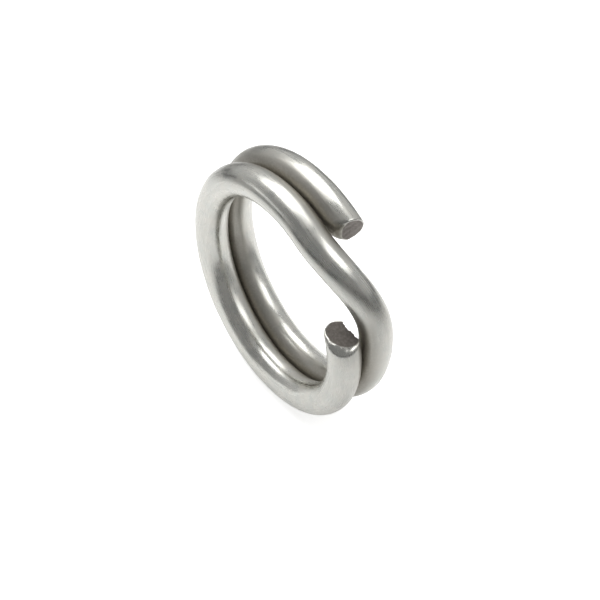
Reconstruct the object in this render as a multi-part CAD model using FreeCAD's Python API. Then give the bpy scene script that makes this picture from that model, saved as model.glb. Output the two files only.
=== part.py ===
import FreeCAD, Part
import math
import os

# A split key ring: one round steel wire wound into two coils that lie side by side.
# The ring stands on edge, with its free ends and its crossing on the right. Its axis is Y and
# its front faces -Y. The origin is the middle of the ring. Angles are in degrees round the
# ring's axis, from +X towards +Z. The front coil is wound with the angle growing towards its
# free end, and the rear coil with it falling.

Vector = FreeCAD.Vector

# The wire and the two coils, in millimetres
WIRE_DIAMETER = 2.5
COIL_RADIUS = 8.75           # from a coil's centre to the axis of the wire
COIL_PITCH = 2.55            # between the planes of the two coils, which all but touch
COIL_SHIFT = (0.23, -0.055)  # X and Z of the front coil's centre; the rear coil's is opposite

# The crossing, where the wire passes from one coil to the other
CROSSING_AT = 33.0          # its middle
CROSSING_HALF = 32.0        # from its middle to each end
CROSSING_HANDLE = 3.5       # length of the tangent at each end that shapes its curve

# The last stretch of each coil, which is bent to another radius than the rest
FRONT_END_FROM = 288.0      # where the front coil tightens, so its free end lies inside
FRONT_END_RADIUS = 7.6
FRONT_END_ARC = 89.3
REAR_END_FROM = -235.0      # where the rear coil widens, so its free end stands outside
REAR_END_RADIUS = 9.8
REAR_END_ARC = 63.8

# The free ends: cut off, tumbled, and ground to a lead-in on the side of the other coil
FRONT_CUT_LEAN = (29.0, 4.0)   # how far the cut leans from square: it is shorter on the ring's
REAR_CUT_LEAN = (12.0, 8.0)    # outside, by the first angle, and on its front, by the second
RIM_RADIUS = 0.3            # rounding round the cut face
FRONT_LEAD_IN_OFFSET = 0.8  # from the wire's axis to the lead-in, at the cut face
REAR_LEAD_IN_OFFSET = 0.95
LEAD_IN_SLOPE = 12.0        # between the lead-in and the wire

# Where each coil's free half twists when the ring is opened, opposite its free end
FRONT_HINGE_AT = 190.0
REAR_HINGE_AT = -121.0

WIRE_RADIUS = WIRE_DIAMETER / 2
TOWARDS_FRONT = Vector(0, -1, 0)


def outward(angle):
    """The direction away from the ring's axis at an angle."""
    turn = math.radians(angle)
    return Vector(math.cos(turn), 0, math.sin(turn))


def coil_centre(side):
    """The centre of the front coil, for side 1, or of the rear coil, for side -1."""
    return Vector(side * COIL_SHIFT[0], -side * COIL_PITCH / 2, side * COIL_SHIFT[1])


def along(angle, side):
    """The direction in which a coil is wound, at an angle."""
    return outward(angle + side * 90)


def bar_arc(centre, radius, start, end):
    """Wire that is bent round a centre from one angle to another."""
    circle = Part.makeCircle(WIRE_RADIUS, centre + outward(start) * radius, along(start, 1))
    section = Part.Face(Part.Wire(circle))
    bar = section.revolve(centre, TOWARDS_FRONT, end - start)
    return bar if bar.Volume > 0 else bar.reversed()


def crossing():
    """Wire that leans over from the front coil's plane to the rear coil's."""
    front_at = CROSSING_AT + CROSSING_HALF
    rear_at = CROSSING_AT - CROSSING_HALF
    front_end = coil_centre(1) + outward(front_at) * COIL_RADIUS
    rear_end = coil_centre(-1) + outward(rear_at) * COIL_RADIUS
    front_handle = front_end - along(front_at, 1) * CROSSING_HANDLE
    rear_handle = rear_end - along(rear_at, -1) * CROSSING_HANDLE
    curve = Part.BezierCurve()
    curve.setPoles([front_end, front_handle, rear_handle, rear_end])
    circle = Part.makeCircle(WIRE_RADIUS, front_end, along(front_at, 1))
    path = Part.Wire(curve.toShape())
    return path.makePipeShell([Part.Wire(circle)], True, True)


def half_space(point, normal):
    """A block that covers the side of a plane to which its normal points."""
    size = 4 * WIRE_DIAMETER
    block = Part.makeBox(size, size, size, Vector(-size / 2, -size / 2, 0))
    block.Placement = FreeCAD.Placement(point, FreeCAD.Rotation(Vector(0, 0, 1), normal))
    return block


def rim_edge(bar, point, normal):
    """The edge round the flat face that a cut has left at a point."""
    for face in bar.Faces:
        flat = face.Surface.TypeId == "Part::GeomPlane"
        if flat and abs((face.CenterOfMass - point).dot(normal)) < 1e-6:
            return face.OuterWire.Edges
    raise ValueError("no cut face")


def free_half(side, hinge_at, end_from, end_radius, end_arc, lean, lead_in_offset):
    """One coil from its hinge to its free end."""
    centre = coil_centre(side)
    coil = bar_arc(centre, COIL_RADIUS, hinge_at, end_from)
    end_centre = centre + outward(end_from) * (COIL_RADIUS - end_radius)
    end_at = end_from + side * end_arc
    spare = math.degrees(WIRE_DIAMETER / end_radius)
    tip = bar_arc(end_centre, end_radius, end_from, end_at + side * spare)
    bar = coil.fuse(tip).removeSplitter()

    end = end_centre + outward(end_at) * end_radius
    lean_outward, lean_to_front = lean
    lean_angle = math.radians(lean_to_front)
    in_plane = along(end_at - side * lean_outward, side)
    cut_normal = in_plane * math.cos(lean_angle) + TOWARDS_FRONT * math.sin(lean_angle)
    bar = bar.cut(half_space(end, cut_normal))
    bar = bar.makeFillet(RIM_RADIUS, rim_edge(bar, end, cut_normal))

    towards_other = TOWARDS_FRONT * -side
    ridge = end + towards_other * lead_in_offset
    slope = math.radians(LEAD_IN_SLOPE)
    lead_in_normal = towards_other * math.cos(slope) + along(end_at, side) * math.sin(slope)
    return bar.cut(half_space(ridge, lead_in_normal)).Solids[0]


def middle_turn():
    """The crossing with the fixed stretch of coil at each side of it."""
    front = bar_arc(coil_centre(1), COIL_RADIUS, CROSSING_AT + CROSSING_HALF, FRONT_HINGE_AT)
    rear = bar_arc(coil_centre(-1), COIL_RADIUS, CROSSING_AT - CROSSING_HALF, REAR_HINGE_AT)
    return front.fuse([crossing(), rear]).Solids[0]


def save(name, shape):
    """Write one closed solid and say how large it is."""
    print(name, shape.ShapeType, shape.isValid(), round(shape.Volume, 3), "mm3", shape.BoundBox)
    shape.exportStep("parts/" + name + ".step")


os.makedirs("parts", exist_ok=True)
save("middle_turn", middle_turn())
save("front_leaf", free_half(1, FRONT_HINGE_AT, FRONT_END_FROM, FRONT_END_RADIUS,
                             FRONT_END_ARC, FRONT_CUT_LEAN, FRONT_LEAD_IN_OFFSET))
save("rear_leaf", free_half(-1, REAR_HINGE_AT, REAR_END_FROM, REAR_END_RADIUS,
                            REAR_END_ARC, REAR_CUT_LEAN, REAR_LEAD_IN_OFFSET))
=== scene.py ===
import math

import bpy
import numpy as np
from mathutils import Matrix, Vector


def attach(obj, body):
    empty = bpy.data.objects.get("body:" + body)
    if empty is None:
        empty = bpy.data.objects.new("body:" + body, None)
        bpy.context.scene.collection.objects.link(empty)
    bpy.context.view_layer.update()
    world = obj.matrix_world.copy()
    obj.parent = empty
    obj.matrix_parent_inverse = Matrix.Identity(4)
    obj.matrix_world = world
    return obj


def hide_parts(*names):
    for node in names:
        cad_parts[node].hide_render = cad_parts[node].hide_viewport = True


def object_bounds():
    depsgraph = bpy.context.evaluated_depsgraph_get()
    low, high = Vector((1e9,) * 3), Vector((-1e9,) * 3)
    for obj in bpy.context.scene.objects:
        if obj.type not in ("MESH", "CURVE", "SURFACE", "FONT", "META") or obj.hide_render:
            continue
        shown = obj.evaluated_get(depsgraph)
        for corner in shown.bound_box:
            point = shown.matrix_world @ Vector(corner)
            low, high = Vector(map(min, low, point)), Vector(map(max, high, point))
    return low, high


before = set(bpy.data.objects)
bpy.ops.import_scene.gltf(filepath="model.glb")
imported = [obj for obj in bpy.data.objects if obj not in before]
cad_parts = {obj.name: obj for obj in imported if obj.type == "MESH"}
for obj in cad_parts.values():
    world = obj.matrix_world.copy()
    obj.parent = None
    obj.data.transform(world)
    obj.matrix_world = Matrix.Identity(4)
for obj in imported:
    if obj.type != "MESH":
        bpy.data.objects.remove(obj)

# A split key ring: one stainless steel wire wound into two coils and cut off at both ends.
# Lengths are in millimetres until a mesh is made, and angles in degrees round the ring's axis,
# from +X towards +Z, as in the CAD model.

MM = 0.001
cad_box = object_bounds()

# ---- The camera -----------------------------------------------------------------------------

CAMERA_AZIMUTH = 53.972         # 0 looks from -Y, and 90 from +X
CAMERA_ELEVATION = 42.372
CAMERA_DISTANCE = 171.6
CAMERA_LENS = 140.2             # focal length, for a sensor 36 mm wide
AIM_RIGHT, AIM_UP = 0.619, -1.372   # from the ring's middle to what the camera faces


def level_axes(azimuth, elevation):
    """The right, up and back directions of something level that looks at the ring."""
    a, e = math.radians(azimuth), math.radians(elevation)
    back = Vector((math.sin(a) * math.cos(e), -math.cos(a) * math.cos(e), math.sin(e)))
    right = Vector((math.cos(a), math.sin(a), 0))
    return right, back.cross(right), back


def frame_axes(right, up, back):
    """A rotation whose columns are three directions."""
    return Matrix((right, up, back)).transposed().to_4x4()


def add_camera():
    """The camera that sees the ring from above and in front."""
    right, up, back = level_axes(CAMERA_AZIMUTH, CAMERA_ELEVATION)
    data = bpy.data.cameras.new("camera")
    data.lens = CAMERA_LENS
    data.sensor_width = 36
    data.clip_start, data.clip_end = 0.01, 10
    camera = bpy.data.objects.new("camera", data)
    bpy.context.collection.objects.link(camera)
    place = (back * CAMERA_DISTANCE + right * AIM_RIGHT + up * AIM_UP) * MM
    camera.matrix_world = Matrix.Translation(place) @ frame_axes(right, up, back)
    bpy.context.scene.camera = camera


# ---- The wire's line, as in the CAD model -----------------------------------------------------

WIRE_RADIUS = 1.25
COIL_RADIUS = 8.75              # from a coil's centre to the axis of the wire
COIL_PITCH = 2.55               # between the planes of the two coils
COIL_SHIFT = (0.23, -0.055)     # X and Z of the front coil's centre; the rear coil's is opposite
CROSSING_AT = 33.0              # the middle of the crossing
CROSSING_HALF = 32.0            # from its middle to each end
CROSSING_HANDLE = 3.5           # length of the tangents that shape its curve
FRONT_HINGE_AT = 190.0
REAR_HINGE_AT = -121.0
LEAD_IN_SLOPE = 12.0            # between a lead-in and the wire

RING_AXIS = np.array([0.0, 1.0, 0.0])


def outward(angle):
    """Directions away from the ring's axis, at angles in degrees."""
    turn = np.radians(np.atleast_1d(angle))
    return np.stack([np.cos(turn), np.zeros_like(turn), np.sin(turn)], 1)


def coil_centre(side):
    """The centre of the front coil, for side 1, or of the rear coil, for side -1."""
    return np.array([side * COIL_SHIFT[0], -side * COIL_PITCH / 2, side * COIL_SHIFT[1]])


def arc(centre, radius, start, side, lengths):
    """Points at lengths along an arc from its start."""
    return centre + radius * outward(start + side * np.degrees(lengths / radius))


class Leaf:
    """One coil's free half: its line from the hinge to its free end, and the cuts there.

    The cut leans from square by lean_outward and lean_to_front. Its rim is rounder by up to
    rolled_over, most at the angle rolled_at in the wire's section. The lead-in's edge steps in
    where the section's outward place is below step_from."""

    def __init__(self, side, hinge_at, end_from, end_radius, end_arc, lean_outward,
                 lean_to_front, lead_in_offset, rolled_over, rolled_at, step_from):
        self.side, self.hinge_at = side, hinge_at
        self.end_from, self.end_radius = end_from, end_radius
        self.end_at = end_from + side * end_arc
        self.coil_length = COIL_RADIUS * math.radians(abs(end_from - hinge_at))
        self.length = self.coil_length + end_radius * math.radians(end_arc)
        self.end_centre = coil_centre(side) + outward(end_from)[0] * (COIL_RADIUS - end_radius)
        self.end = self.end_centre + outward(self.end_at)[0] * end_radius
        along = outward(self.end_at + side * 90)[0]
        in_plane = outward(self.end_at - side * lean_outward + side * 90)[0]
        lean_front = math.radians(lean_to_front)
        self.cut_normal = in_plane * math.cos(lean_front) - RING_AXIS * math.sin(lean_front)
        towards_other = RING_AXIS * side
        slope = math.radians(LEAD_IN_SLOPE)
        self.lead_in_normal = towards_other * math.cos(slope) + along * math.sin(slope)
        self.ridge = self.end + towards_other * lead_in_offset
        self.rolled_over, self.rolled_at = rolled_over, math.radians(rolled_at)
        self.step_from = step_from

    def line(self, lengths):
        """Points of the wire's axis at lengths from the hinge."""
        coil = arc(coil_centre(self.side), COIL_RADIUS, self.hinge_at, self.side, lengths)
        end = arc(self.end_centre, self.end_radius, self.end_from, self.side,
                  lengths - self.coil_length)
        return np.where((lengths > self.coil_length)[:, None], end, coil)


NO_STEP = -9.0                  # beyond the wire
front = Leaf(side=1, hinge_at=FRONT_HINGE_AT, end_from=288.0, end_radius=7.6, end_arc=89.3,
             lean_outward=29.0, lean_to_front=4.0, lead_in_offset=0.8,
             rolled_over=0.4, rolled_at=-55.0, step_from=-0.8)
rear = Leaf(side=-1, hinge_at=REAR_HINGE_AT, end_from=-235.0, end_radius=9.8, end_arc=63.8,
            lean_outward=12.0, lean_to_front=8.0, lead_in_offset=0.95,
            rolled_over=0.75, rolled_at=-100.0, step_from=NO_STEP)


def crossing_curve(t):
    """Points of the crossing, from the front coil at 0 to the rear coil at 1."""
    front_at, rear_at = CROSSING_AT + CROSSING_HALF, CROSSING_AT - CROSSING_HALF
    a = coil_centre(1) + outward(front_at)[0] * COIL_RADIUS
    d = coil_centre(-1) + outward(rear_at)[0] * COIL_RADIUS
    b = a - outward(front_at + 90)[0] * CROSSING_HANDLE
    c = d - outward(rear_at - 90)[0] * CROSSING_HANDLE
    t = np.asarray(t)[:, None]
    return (1 - t) ** 3 * a + 3 * (1 - t) ** 2 * t * b + 3 * (1 - t) * t * t * c + t ** 3 * d


def middle_line():
    """The wire's axis from the front hinge over the crossing to the rear hinge.

    It has two points more at each end, which only steer the rings beside them."""
    front_at, rear_at = CROSSING_AT + CROSSING_HALF, CROSSING_AT - CROSSING_HALF
    front_run = math.radians(FRONT_HINGE_AT - front_at) * COIL_RADIUS
    rear_run = math.radians(rear_at - REAR_HINGE_AT) * COIL_RADIUS
    n_front, n_rear = round(front_run / RING_STEP), round(rear_run / RING_STEP)
    front_points = arc(coil_centre(1), COIL_RADIUS, FRONT_HINGE_AT, -1,
                       np.arange(-2, n_front) * front_run / n_front)
    rear_points = arc(coil_centre(-1), COIL_RADIUS, rear_at, -1,
                      np.arange(1, n_rear + 3) * rear_run / n_rear)
    fine = crossing_curve(np.linspace(0, 1, 2001))
    run = np.concatenate([[0], np.cumsum(np.linalg.norm(np.diff(fine, axis=0), axis=1))])
    wanted = np.linspace(0, run[-1], round(run[-1] / RING_STEP) + 1)
    cross_points = np.stack([np.interp(wanted, run, fine[:, k]) for k in range(3)], 1)
    return np.concatenate([front_points, cross_points, rear_points])


# ---- The wire's surface -----------------------------------------------------------------------

COLUMNS = 180               # points round the wire
RING_STEP = 0.15            # between rings of points along the wire
TIP_REACH = 3.0             # the stretch before a free end that is shaped by its cuts
RIM_ZONE = 0.6              # at each side of the cut's edge, where the rows are close
LEAST_RIM = 0.1             # the rounding of the cut's edge, where it isn't rolled over
SHARP_RADIUS = 0.04         # the edges of the lead-in
TORN_HEIGHT = 0.012         # unevenness of the sheared face
RAGGED_REACH = 0.8          # from the cut to where the lead-in's edge is straight
STEP_DEPTH = 0.30           # the step in the front lead-in's edge
STEP_WIDTH = 0.12           # across which it falls
ROWS_BEFORE_RIM = 44        # rows of points along the tip's wall
ROWS_UP_TO_RIM = 16         # along its last stretch, which ends at the cut's edge
ROWS_PAST_RIM = 20          # over the outermost stretch of the cut face
ROWS_ON_FACE = 16           # over the rest of it
HALVINGS = 40               # of the interval in which a surface is searched for
RIM_START = 0.85            # the part of the rim's radius that is burnished, not sheared
GROOVE_REACH = 2.0          # from the other coil to where the painted shade in the groove between them ends
FAR = 9.0                   # more than any reach

around = np.arange(COLUMNS) * 2 * math.pi / COLUMNS


def unit(vectors):
    """Vectors scaled to length 1."""
    return vectors / np.linalg.norm(vectors, axis=-1, keepdims=True)


def wire_rings(line):
    """Rings of points round a line, and their places along it.

    The line's two end points only steer the rings beside them."""
    tangent = unit(line[2:] - line[:-2])
    middle = line[1:-1]
    away = middle * (1 - RING_AXIS)
    away = unit(away - (away * tangent).sum(1, keepdims=True) * tangent)
    across = np.cross(tangent, away)
    across *= np.sign(across[:, 1:2])
    spread = (np.cos(around)[None, :, None] * away[:, None]
              + np.sin(around)[None, :, None] * across[:, None])
    run = np.concatenate([[0], np.cumsum(np.linalg.norm(np.diff(middle, axis=0), axis=1))])
    return middle[:, None] + WIRE_RADIUS * spread, run


def round_meet(a, b, radius):
    """The meeting of two solids, given as distances outside them, with a rounded edge."""
    a, b = a + radius, b + radius
    outside = np.hypot(np.maximum(a, 0), np.maximum(b, 0))
    return np.minimum(np.maximum(a, b), 0) + outside - radius


class Tip:
    """The free end of a leaf as a solid: bent wire met by a leaning cut and by a lead-in."""

    def __init__(self, leaf):
        self.leaf = leaf

    def section(self, points):
        """Places in the wire's section: outward, and towards the rear."""
        from_centre = points - self.leaf.end_centre
        out = np.hypot(from_centre[..., 0], from_centre[..., 2]) - self.leaf.end_radius
        return out, from_centre[..., 1]

    def to_wire(self, points):
        """How far points are outside the bent wire."""
        return np.hypot(*self.section(points)) - WIRE_RADIUS

    def to_cut(self, points):
        """How far points are beyond the cut, which is slightly torn."""
        out, rearward = self.section(points)
        torn = TORN_HEIGHT * np.sin(9 * out + 2.0) * np.sin(7 * rearward + 0.5)
        return (points - self.leaf.end) @ self.leaf.cut_normal + torn

    def to_lead_in(self, points):
        """How far points are beyond the lead-in, whose edge at the cut is ragged."""
        out, _ = self.section(points)
        ragged = 0.04 * np.sin(9.0 * out + 0.6) + 0.03 * np.sin(21.0 * out + 2.1)
        near = np.clip(1 + (points - self.leaf.end) @ self.leaf.cut_normal / RAGGED_REACH, 0, 1)
        step = STEP_DEPTH * np.clip((self.leaf.step_from - out) / STEP_WIDTH, 0, 1) * near ** 2
        return (points - self.leaf.ridge) @ self.leaf.lead_in_normal - ragged * near ** 2 - step

    def rim_radius(self, points):
        """The rounding of the cut's edge, which changes round the wire."""
        out, rearward = self.section(points)
        facing = np.cos(np.arctan2(rearward, out) - self.leaf.rolled_at)
        return LEAST_RIM + self.leaf.rolled_over * np.maximum(facing, 0)

    def outside(self, points):
        """How far points are outside the tip. It is negative inside."""
        cut = round_meet(self.to_wire(points), self.to_cut(points), self.rim_radius(points))
        return round_meet(cut, self.to_lead_in(points), SHARP_RADIUS)

    def wall(self, back):
        """Points of the plain wire's wall, at lengths before the free end, one per column."""
        leaf = self.leaf
        angle = leaf.end_at - leaf.side * np.degrees(back / leaf.end_radius)
        reach = leaf.end_radius + WIRE_RADIUS * np.cos(around)
        rearward = WIRE_RADIUS * np.sin(around)[:, None] * RING_AXIS
        return leaf.end_centre + outward(angle) * reach[:, None] + rearward

    def corner(self):
        """Where the cut's plane meets the wall in each column, as lengths before the end."""
        low, high = np.full(COLUMNS, -2.0), np.full(COLUMNS, 2.5)
        for _ in range(HALVINGS):
            middle = (low + high) / 2
            beyond = (self.wall(middle) - self.leaf.end) @ self.leaf.cut_normal > 0
            low, high = np.where(beyond, middle, low), np.where(beyond, high, middle)
        return low

    def rows(self):
        """Rows of points over the tip, from the last plain ring to the middle of the cut."""
        corner = self.corner()
        corner_points = self.wall(corner)
        inward = unit(self.leaf.end - corner_points)
        face_radius = np.linalg.norm(self.leaf.end - corner_points, axis=1)
        aims = []
        for part in np.linspace(0, 1, ROWS_BEFORE_RIM, endpoint=False):
            aims.append(self.wall(TIP_REACH + (corner + RIM_ZONE - TIP_REACH) * part))
        for part in np.linspace(0, 1, ROWS_UP_TO_RIM, endpoint=False):
            aims.append(self.wall(corner + RIM_ZONE * (1 - part)))
        for part in np.linspace(0, 1, ROWS_PAST_RIM, endpoint=False):
            aims.append(corner_points + inward * RIM_ZONE * part)
        for part in np.linspace(0, 1, ROWS_ON_FACE, endpoint=False):
            run = RIM_ZONE + (face_radius - RIM_ZONE) * part
            aims.append(corner_points + inward * run[:, None])
        aims.append(np.repeat(self.leaf.end[None], COLUMNS, 0))
        start = self.leaf.line(np.array([self.leaf.length - TIP_REACH]))[0]
        towards = unit(np.array(aims) - start)
        near, far = np.full(towards.shape[:2], 0.3), np.full(towards.shape[:2], 5.0)
        for _ in range(HALVINGS):
            middle = (near + far) / 2
            out = self.outside(start + towards * middle[..., None]) > 0
            near, far = np.where(out, near, middle), np.where(out, middle, far)
        return start + towards * near[..., None]


# Long shallow waves left by drawing, winding and tumbling, as directions and phases
wave_random = np.random.default_rng(7)
WAVES = [(unit(wave_random.normal(size=3)) * 2 * math.pi / wave_random.uniform(1.4, 4.5),
          wave_random.uniform(0, 2 * math.pi)) for _ in range(28)]
WAVE_HEIGHT = 0.0011


def waves(points):
    """Heights of the shallow waves at points."""
    return WAVE_HEIGHT * sum(np.sin(points @ direction + phase) for direction, phase in WAVES)


def row_tangents(grid):
    """Directions across the rows of a grid, from unevenly spaced rows."""
    steps = np.diff(grid, axis=0)
    sizes = np.linalg.norm(steps, axis=2, keepdims=True) + 1e-9
    directions = steps / sizes
    share = sizes[1:] / (sizes[1:] + sizes[:-1])
    inner = directions[:-1] * share + directions[1:] * (1 - share)
    return np.concatenate([directions[:1], inner, directions[-1:]])


def ring_faces(rows):
    """Quads between rings of points, and a fan of triangles over the first and the last ring.

    The middles of the two fans are the two vertices after the rings."""
    index = np.arange(rows * COLUMNS).reshape(rows, COLUMNS)
    right = np.roll(index, -1, 1)
    quads = np.stack([index[:-1], right[:-1], right[1:], index[1:]], -1).reshape(-1, 4)
    first_middle, last_middle = rows * COLUMNS, rows * COLUMNS + 1
    first_fan = np.stack([right[0], index[0], np.full(COLUMNS, first_middle)], -1)
    last_fan = np.stack([index[-1], right[-1], np.full(COLUMNS, last_middle)], -1)
    return [*quads.tolist(), *first_fan.tolist(), *last_fan.tolist()]


def set_normals(mesh, points, normals, closed):
    """Give each corner of a mesh its surface's own normal, and flat ones to the hinge caps."""
    vertex_of = np.empty(len(mesh.loops), dtype=int)
    mesh.loops.foreach_get("vertex_index", vertex_of)
    last_normal = unit(normals[-1].mean(0))
    vertex_normals = np.concatenate([normals.reshape(-1, 3), [last_normal, last_normal]])
    loop_normals = vertex_normals[vertex_of]
    first_cap = 4 * COLUMNS * (len(points) - 1)
    second_cap = first_cap + 3 * COLUMNS
    loop_normals[first_cap:second_cap] = unit(points[0].mean(0) - points[1].mean(0))
    if not closed:
        loop_normals[second_cap:] = unit(points[-1].mean(0) - points[-2].mean(0))
    mesh.normals_split_custom_set(loop_normals.tolist())


def set_attributes(mesh, places, masks):
    """Store each point's place on the wire and its masks for the material."""
    ends = [places[0].mean(0), places[-1].mean(0)]
    place = mesh.attributes.new("wire_place", "FLOAT_VECTOR", "POINT")
    place.data.foreach_set("vector", np.concatenate([places.reshape(-1, 3), ends]).ravel())
    for key, values in masks.items():
        mask = mesh.attributes.new(key, "FLOAT", "POINT")
        both = np.concatenate([values.ravel(), [values[0].mean(), values[-1].mean()]])
        mask.data.foreach_set("value", both)


def build(name, body, grid, places, masks, closed):
    """One closed mesh from rings of points.

    The first and the last ring are left out of the mesh. The first only steers normals, and so
    does the last, unless the grid is closed: then it is one point, which closes the mesh."""
    radial = unit(grid - grid.mean(1, keepdims=True) + 1e-12)
    grid = grid + radial * waves(grid)[..., None]
    normals = np.cross(np.roll(grid, -1, 1) - np.roll(grid, 1, 1), row_tangents(grid))
    normals = unit(normals + 1e-12)
    turned = (normals[4] * radial[4]).sum() < 0
    if turned:
        normals = -normals
    kept = slice(1, -1)
    points, normals, places = grid[kept], normals[kept], places[kept]
    masks = {key: value[kept] for key, value in masks.items()}
    # painted shade: the groove mask darkens the wire where the other coil is near
    masks["groove"] = groove_shade_depth(places, points)

    last_point = grid[-1, 0] if closed else points[-1].mean(0)
    vertices = np.concatenate([points.reshape(-1, 3), [points[0].mean(0), last_point]])
    faces = ring_faces(len(points))
    if turned:
        faces = [face[::-1] for face in faces]
    mesh = bpy.data.meshes.new(name)
    mesh.from_pydata((vertices * MM).tolist(), [], faces)
    mesh.shade_smooth()
    set_normals(mesh, points, normals, closed)
    set_attributes(mesh, places, masks)
    piece = bpy.data.objects.new(name, mesh)
    bpy.context.collection.objects.link(piece)
    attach(piece, body)
    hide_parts(name.removesuffix("_wire"))
    return piece


def plain_places(run):
    """Places on plain wire: outward and rearward in its section, and along it."""
    section = np.broadcast_to(around, (len(run), COLUMNS))
    along = np.broadcast_to(run[:, None], section.shape)
    return np.stack([WIRE_RADIUS * np.cos(section), WIRE_RADIUS * np.sin(section), along], -1)


def groove_shade_depth(places, points):
    """How deep points lie in the groove between the two coils, from 0 to 1, which sets the
    painted shade there.
    """
    flat, runs = points.reshape(-1, 3), places[..., 2].ravel()
    gap = np.full(len(flat), FAR)
    for centre, run in wire_axis:
        apart = np.linalg.norm(flat - centre, axis=1) - WIRE_RADIUS
        other_coil = np.abs(runs - run) > math.pi * COIL_RADIUS / 2
        gap = np.where(other_coil, np.minimum(gap, apart), gap)
    part = np.clip(1 - gap / GROOVE_REACH, 0, 1)
    return (part * part * (3 - 2 * part)).reshape(points.shape[:2])


def whole_axis():
    """Points of the whole wire's axis with their places along it."""
    middle = middle_line()[2:-2:3]
    run = np.concatenate([[0], np.cumsum(np.linalg.norm(np.diff(middle, axis=0), axis=1))])
    axis = list(zip(middle, -run))
    for leaf, run_at_hinge in ((front, 0.0), (rear, -run[-1])):
        lengths = np.arange(0, leaf.length, 3 * RING_STEP)
        axis += zip(leaf.line(lengths), run_at_hinge + leaf.side * lengths)
    return axis


def build_middle():
    """The span that stays: the crossing, and the coil at each side of it to its hinge."""
    rings, run = wire_rings(middle_line())
    run = run[1] - run
    none = np.zeros(rings.shape[:2])
    masks = {"sheared": none, "ground": none, "rim": none}
    piece = build("middle_turn_wire", "middle", rings, plain_places(run), masks, False)
    return piece, run[-2]


def build_leaf(name, body, leaf, run_at_hinge):
    """One coil's free half, with the cuts at its free end."""
    plain = leaf.length - TIP_REACH
    count = round(plain / RING_STEP)
    rings, _ = wire_rings(leaf.line(np.arange(-2, count + 1) * plain / count))
    tip = Tip(leaf)
    tip_rows = tip.rows()
    run = np.arange(-1, count) * plain / count
    out, rearward = tip.section(tip_rows)
    from_centre = tip_rows - leaf.end_centre
    angle = np.degrees(np.arctan2(from_centre[..., 2], from_centre[..., 0]))
    short = (leaf.side * (leaf.end_at - angle) + 180) % 360 - 180
    tip_run = leaf.length - np.radians(short) * leaf.end_radius
    places = np.concatenate([plain_places(run), np.stack([out, rearward, tip_run], -1)])
    places[..., 2] = run_at_hinge + leaf.side * places[..., 2]
    none = np.zeros(rings.shape[:2])
    to_cut = tip.to_cut(tip_rows)
    rim_radius = tip.rim_radius(tip_rows)
    inside_rim = np.clip((-tip.to_wire(tip_rows) - RIM_START * rim_radius) / 0.05, 0, 1)
    sheared = np.clip(1 + to_cut / 0.1, 0, 1) * inside_rim
    ground = np.clip(1 + tip.to_lead_in(tip_rows) / 0.03, 0, 1)
    rim = np.clip(1 + to_cut / rim_radius, 0, 1) * (1 - sheared)
    masks = {"sheared": np.concatenate([none, sheared]),
             "ground": np.concatenate([none, ground]),
             "rim": np.concatenate([none, rim])}
    return build(name, body, np.concatenate([rings, tip_rows]), places, masks, True)


# ---- The steel --------------------------------------------------------------------------------

class Nodes:
    """Makes and links a material's or a world's shader nodes."""

    def __init__(self, owner):
        owner.use_nodes = True
        self.tree = owner.node_tree

    def add(self, kind, settings=(), output=0, **inputs):
        """One output of a new node. Each input is a number, a colour or another's output."""
        node = self.tree.nodes.new(kind)
        for key, value in dict(settings).items():
            setattr(node, key, value)
        for key, value in inputs.items():
            socket = node.inputs[int(key[1:])] if key[1:].isdigit() else node.inputs[key]
            if isinstance(value, bpy.types.NodeSocket):
                self.tree.links.new(value, socket)
            else:
                socket.default_value = value
        return node.outputs[output]

    def math(self, operation, a, b=0.0, c=0.0):
        """The result of a Math node."""
        return self.add("ShaderNodeMath", {"operation": operation}, _0=a, _1=b, _2=c)

    def vector(self, operation, a, b):
        """The result of a Vector Math node."""
        return self.add("ShaderNodeVectorMath", {"operation": operation}, _0=a, _1=b)

    def noise(self, vector, scale, detail=2.0, roughness=0.5):
        """The value of a noise."""
        return self.add("ShaderNodeTexNoise", Vector=vector, Scale=scale, Detail=detail,
                        Roughness=roughness)

    def between(self, value, low, high, to_low=0.0, to_high=1.0):
        """A value moved smoothly from the range low to high to another range."""
        return self.add("ShaderNodeMapRange", {"interpolation_type": "SMOOTHSTEP"}, _0=value,
                        _1=low, _2=high, _3=to_low, _4=to_high)

    def mix(self, factor, a, b):
        """A mix of two colours."""
        return self.add("ShaderNodeMix", {"data_type": "RGBA"}, 2, _0=factor, _6=a, _7=b)

    def attribute(self, name, output="Fac"):
        """An attribute that is stored in the mesh."""
        node = self.tree.nodes.new("ShaderNodeAttribute")
        node.attribute_name = name
        return node.outputs[output]


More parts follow.
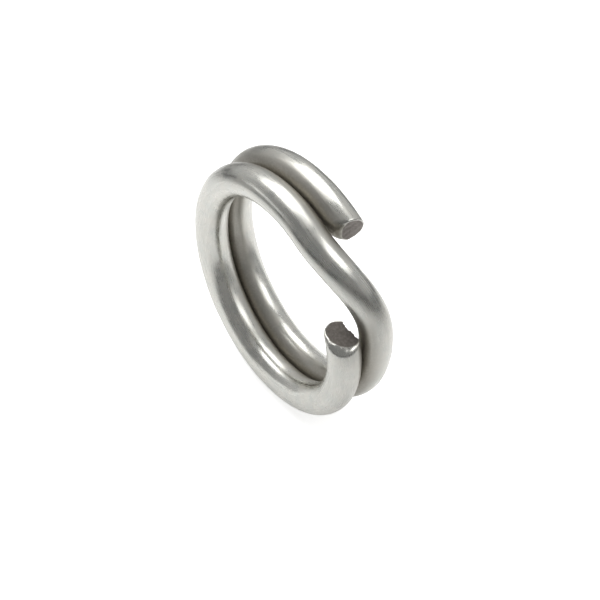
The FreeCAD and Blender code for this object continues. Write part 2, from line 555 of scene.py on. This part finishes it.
def steel():
    """Satin drawn steel wire, with dull sheared ends, ground lead-ins and painted shade in the
    groove between the coils.
    """
    material = bpy.data.materials.new("satin_steel_wire")
    nodes = Nodes(material)
    shader = nodes.tree.nodes["Principled BSDF"]
    place = nodes.attribute("wire_place", "Vector")
    sheared, ground = nodes.attribute("sheared"), nodes.attribute("ground")

    streak_place = nodes.vector("MULTIPLY", place, (1.0, 1.0, 0.07))
    streaks = nodes.noise(streak_place, 4.5, 4.0, 0.62)
    pits = nodes.noise(place, 6.0, 4.0, 0.65)
    blotches = nodes.noise(place, 0.9, 2.0)

    shade = nodes.between(blotches, 0.3, 0.7)
    plain_colour = nodes.mix(shade, (0.60, 0.605, 0.57, 1), (0.66, 0.65, 0.605, 1))
    cut_colour = nodes.mix(nodes.between(pits, 0.35, 0.65), (0.21, 0.19, 0.175, 1),
                           (0.27, 0.25, 0.23, 1))
    # Painted shade: darker, browner and duller wire in the groove between the coils, standing in
    # for the shade and dark reflection of the other coil
    painted_groove_shade = nodes.math("MULTIPLY", nodes.attribute("groove"),
                       nodes.between(pits, 0.2, 0.6, 0.7, 1.0))
    plain_colour = nodes.mix(painted_groove_shade, plain_colour, (0.33, 0.31, 0.27, 1))
    colour = nodes.mix(sheared, plain_colour, cut_colour)
    nodes.tree.links.new(colour, shader.inputs["Base Color"])
    shader.inputs["Metallic"].default_value = 1

    satin = nodes.between(streaks, 0.35, 0.7, 0.23, 0.36)
    patchy = nodes.between(blotches, 0.3, 0.7, -0.03, 0.03)
    satin = nodes.math("ADD", satin, patchy)
    dull = nodes.math("MULTIPLY_ADD", sheared, 0.22, satin)
    dull = nodes.math("MULTIPLY_ADD", ground, 0.12, dull)
    dull = nodes.math("MULTIPLY_ADD", painted_groove_shade, 0.22, dull)
    dull = nodes.math("MULTIPLY_ADD", nodes.attribute("rim"), -0.08, dull)
    nodes.tree.links.new(dull, shader.inputs["Roughness"])

    height = nodes.math("MULTIPLY_ADD", streaks, 0.8, nodes.math("MULTIPLY", pits, 0.5))
    bump = nodes.add("ShaderNodeBump", Strength=0.35, Distance=0.00001, Height=height)
    nodes.tree.links.new(bump, shader.inputs["Normal"])
    return material


# ---- The studio -------------------------------------------------------------------------------

FLOOR_SIZE = 3.0                        # from here on, lengths are in metres
FLOOR_GLOW = 0.30                       # the floor's own light, as the lights and ring see it
FLOOR_GLOW_SEEN = 0.35                  # what is added where the camera sees the floor
LIT_POOL_SPOT = (-0.0157, 0.009)            # where the painted pool of light on the floor is brightest in reflections
LIT_POOL_REACH = (0.012, 0.085)             # from there to where the painted falloff starts and stops darkening
# how much of the floor's light the painted falloff takes away in reflections
LIT_POOL_LOSS = 0.88
LIGHT_DISTANCE = 0.5


def add_floor():
    """A plain pale floor under the ring, which glows a little, with a painted pool of light that
    darkens away from a spot in reflections.
    """
    low = cad_box[0][2]
    half = FLOOR_SIZE / 2
    mesh = bpy.data.meshes.new("floor")
    corners = [(-half, -half, low), (half, -half, low), (half, half, low), (-half, half, low)]
    mesh.from_pydata(corners, [], [(0, 1, 2, 3)])
    floor = bpy.data.objects.new("floor", mesh)
    bpy.context.collection.objects.link(floor)
    material = bpy.data.materials.new("pale_floor")
    nodes = Nodes(material)
    shader = nodes.tree.nodes["Principled BSDF"]
    shader.inputs["Base Color"].default_value = (0.86, 0.86, 0.86, 1)
    shader.inputs["Roughness"].default_value = 0.9
    shader.inputs["Specular IOR Level"].default_value = 0.0
    shader.inputs["Emission Color"].default_value = (1, 1, 1, 1)
    seen = nodes.add("ShaderNodeLightPath")
    glow = nodes.math("MULTIPLY_ADD", seen, FLOOR_GLOW_SEEN, FLOOR_GLOW)
    nodes.tree.links.new(glow, shader.inputs["Emission Strength"])
    place = nodes.add("ShaderNodeTexCoord", output=3)
    away = nodes.add("ShaderNodeVectorMath", {"operation": "DISTANCE"}, 1, _0=place,
                     _1=(*LIT_POOL_SPOT, low))
    # Painted pool of light: in glossy rays the floor fades to black away from the spot given
    # above
    painted_falloff = nodes.between(away, *LIT_POOL_REACH, 0.0, LIT_POOL_LOSS)
    mirrored = nodes.add("ShaderNodeLightPath", output=3)
    dark = nodes.add("ShaderNodeBsdfDiffuse", Color=(0.0, 0.0, 0.0, 1))
    surface = nodes.add("ShaderNodeMixShader", _0=nodes.math("MULTIPLY", painted_falloff, mirrored),
                        _1=shader.outputs[0], _2=dark)
    output = nodes.tree.nodes["Material Output"]
    nodes.tree.links.new(surface, output.inputs["Surface"])
    mesh.materials.append(material)


def softbox(name, azimuth, elevation, width, height, radiance):
    """A rectangular soft light that faces the ring from a direction."""
    right, up, back = level_axes(azimuth, elevation)
    data = bpy.data.lights.new(name, "AREA")
    data.shape = "RECTANGLE"
    data.size, data.size_y = width, height
    data.energy = radiance * 4 * width * height
    light = bpy.data.objects.new(name, data)
    bpy.context.collection.objects.link(light)
    light.matrix_world = Matrix.Translation(back * LIGHT_DISTANCE) @ frame_axes(right, up, back)
    light.visible_camera = False


def add_room():
    """A dim grey room, darkest behind the camera, with a white backdrop where it is seen."""
    world = bpy.data.worlds.new("studio")
    bpy.context.scene.world = world
    nodes = Nodes(world)
    background = nodes.tree.nodes["Background"]
    background.inputs["Color"].default_value = (1, 1, 1, 1)
    direction = nodes.add("ShaderNodeTexCoord")
    _, _, dark_side = level_axes(40, 20)
    toward_dark = nodes.tree.nodes.new("ShaderNodeVectorMath")
    toward_dark.operation = "DOT_PRODUCT"
    nodes.tree.links.new(direction, toward_dark.inputs[0])
    toward_dark.inputs[1].default_value = dark_side
    level = nodes.between(toward_dark.outputs["Value"], -0.4, 0.75, 0.58, 0.27)
    seen = nodes.add("ShaderNodeLightPath")
    backdrop = nodes.math("MAXIMUM", level, seen)
    nodes.tree.links.new(backdrop, background.inputs["Strength"])


wire_axis = whole_axis()
middle_piece, run_at_rear_hinge = build_middle()
pieces = [middle_piece, build_leaf("front_leaf_wire", "front", front, 0.0),
          build_leaf("rear_leaf_wire", "rear", rear, run_at_rear_hinge)]
wire_steel = steel()
for piece in pieces:
    piece.data.materials.append(wire_steel)
add_floor()
add_room()
softbox("main_softbox", azimuth=-107, elevation=62, width=0.52, height=0.38, radiance=2.3)
softbox("side_softbox", azimuth=121, elevation=47, width=0.34, height=0.25, radiance=2.0)
softbox("low_card", azimuth=-40, elevation=2, width=0.24, height=0.10, radiance=0.8)
add_camera()
bpy.context.scene.view_settings.view_transform = "Standard"
